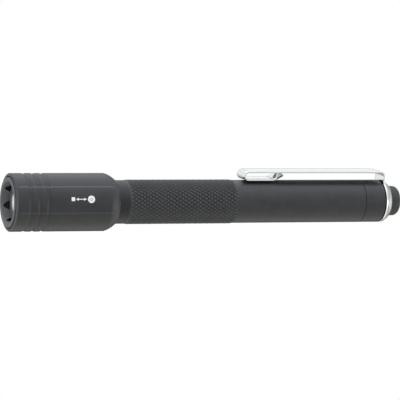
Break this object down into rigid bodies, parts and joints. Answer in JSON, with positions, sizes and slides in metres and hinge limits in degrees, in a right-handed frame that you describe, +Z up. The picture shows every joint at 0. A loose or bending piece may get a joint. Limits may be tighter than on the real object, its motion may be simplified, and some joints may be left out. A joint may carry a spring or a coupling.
{
  "type": "penlight",
  "caption": "Slim black penlight with a sliding grooved focus head, knurled barrel, screwed tail cap, rubber push button and a polished pocket clip with a curled tip.",
  "frame": {"origin": "middle of the length, under the axis, at the lowest point of the focus head", "axes": "+X along the light's axis towards the tail button (the beam leaves along -X), +Z up through the pocket clip, +Y across"},
  "size_m": [0.1386, 0.019, 0.0201],
  "materials": {
    "anodised": "satin black anodised",
    "polished": "polished chrome plate",
    "rubber": "matt black",
    "clear": "clear moulded",
    "black_plastic": "matt black",
    "white_plastic": "matt white",
    "green_board": "solder mask",
    "white_board": "white solder mask on aluminium",
    "emitter": "phosphor on ceramic",
    "brass": "turned",
    "steel": "spring wire",
    "cell": "plain sleeve over a metal can"
  },
  "bodies": {
    "barrel": {"barrel": "anodised", "stop_ring": "steel", "focus_o_ring": "rubber", "led_pill": "brass", "led_board": "white_board", "led_emitter": "emitter", "led_dome": "clear", "led_insulator": "white_plastic", "driver_board": "green_board", "driver_contact": "brass", "battery_front": "cell", "battery_rear": "cell"},
    "focus_head": {"head_sleeve": "anodised", "lens_retainer": "anodised", "lens": "clear", "lens_o_ring": "rubber", "lens_holder": "black_plastic"},
    "tail_thread": {"tail_o_ring": "rubber"},
    "tail_cap": {"tail_cap": "anodised", "tail_nut": "polished", "clip_base": "polished", "switch_housing": "black_plastic", "switch_board": "green_board", "switch_retainer": "brass", "battery_spring": "steel", "switch_spring": "steel"},
    "clip": {"clip_arm": "polished"},
    "button": {"tail_button": "rubber", "switch_plunger": "white_plastic"}
  },
  "joints": [
    {"name": "focus_slide", "type": "slide", "parent": "barrel", "child": "focus_head", "axis": [-1, 0, 0], "range_m": [0, 0.006]},
    {"name": "tail_cap_travel", "type": "slide", "parent": "barrel", "child": "tail_thread", "axis": [1, 0, 0], "range_m": [0, 0.003]},
    {"name": "tail_cap_turn", "type": "hinge", "parent": "tail_thread", "child": "tail_cap", "pos_m": [0.055, 0, 0.0095], "axis": [1, 0, 0], "range_deg": [0, 1440]},
    {"name": "clip_flex", "type": "hinge", "parent": "tail_cap", "child": "clip", "pos_m": [0.0612, 0, 0.01965], "axis": [0, 1, 0], "range_deg": [0, 3], "stiffness_Nm_per_rad": 0.6, "springref_deg": -1.15},
    {"name": "button_press", "type": "slide", "parent": "tail_cap", "child": "button", "axis": [-1, 0, 0], "range_m": [0, 0.0012], "stiffness_N_per_m": 300, "springref_m": -0.002, "deforming": ["switch_spring"]}
  ],
  "couplings": [
    {"joint": "tail_cap_turn", "follows": "tail_cap_travel", "rad_per_m": 8377.5}
  ]
}
